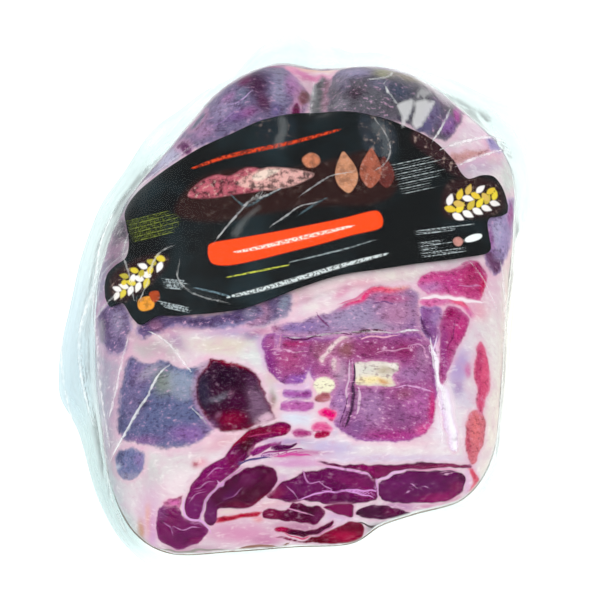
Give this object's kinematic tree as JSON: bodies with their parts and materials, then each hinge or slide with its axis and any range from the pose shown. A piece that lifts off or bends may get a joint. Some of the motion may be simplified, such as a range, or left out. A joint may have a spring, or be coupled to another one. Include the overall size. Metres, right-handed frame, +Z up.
{
  "type": "vacuum-packed cured ham shoulder",
  "caption": "Boned and pressed half shoulder of cured ham, cut across at one end, in a clear vacuum bag with a sealed margin and a card label.",
  "frame": {"origin": "on the table, under the middle of the pack's plan", "axes": "+Z up, +X to the right along the cut face, +Y away from the cut face; the cut face looks towards -Y"},
  "size_m": [0.2256, 0.2824, 0.0742],
  "materials": {
    "meat": "gloss",
    "film": "gloss",
    "card": "satin"
  },
  "bodies": {
    "root": {"bag": "meat", "label": "card"}
  },
  "joints": []
}
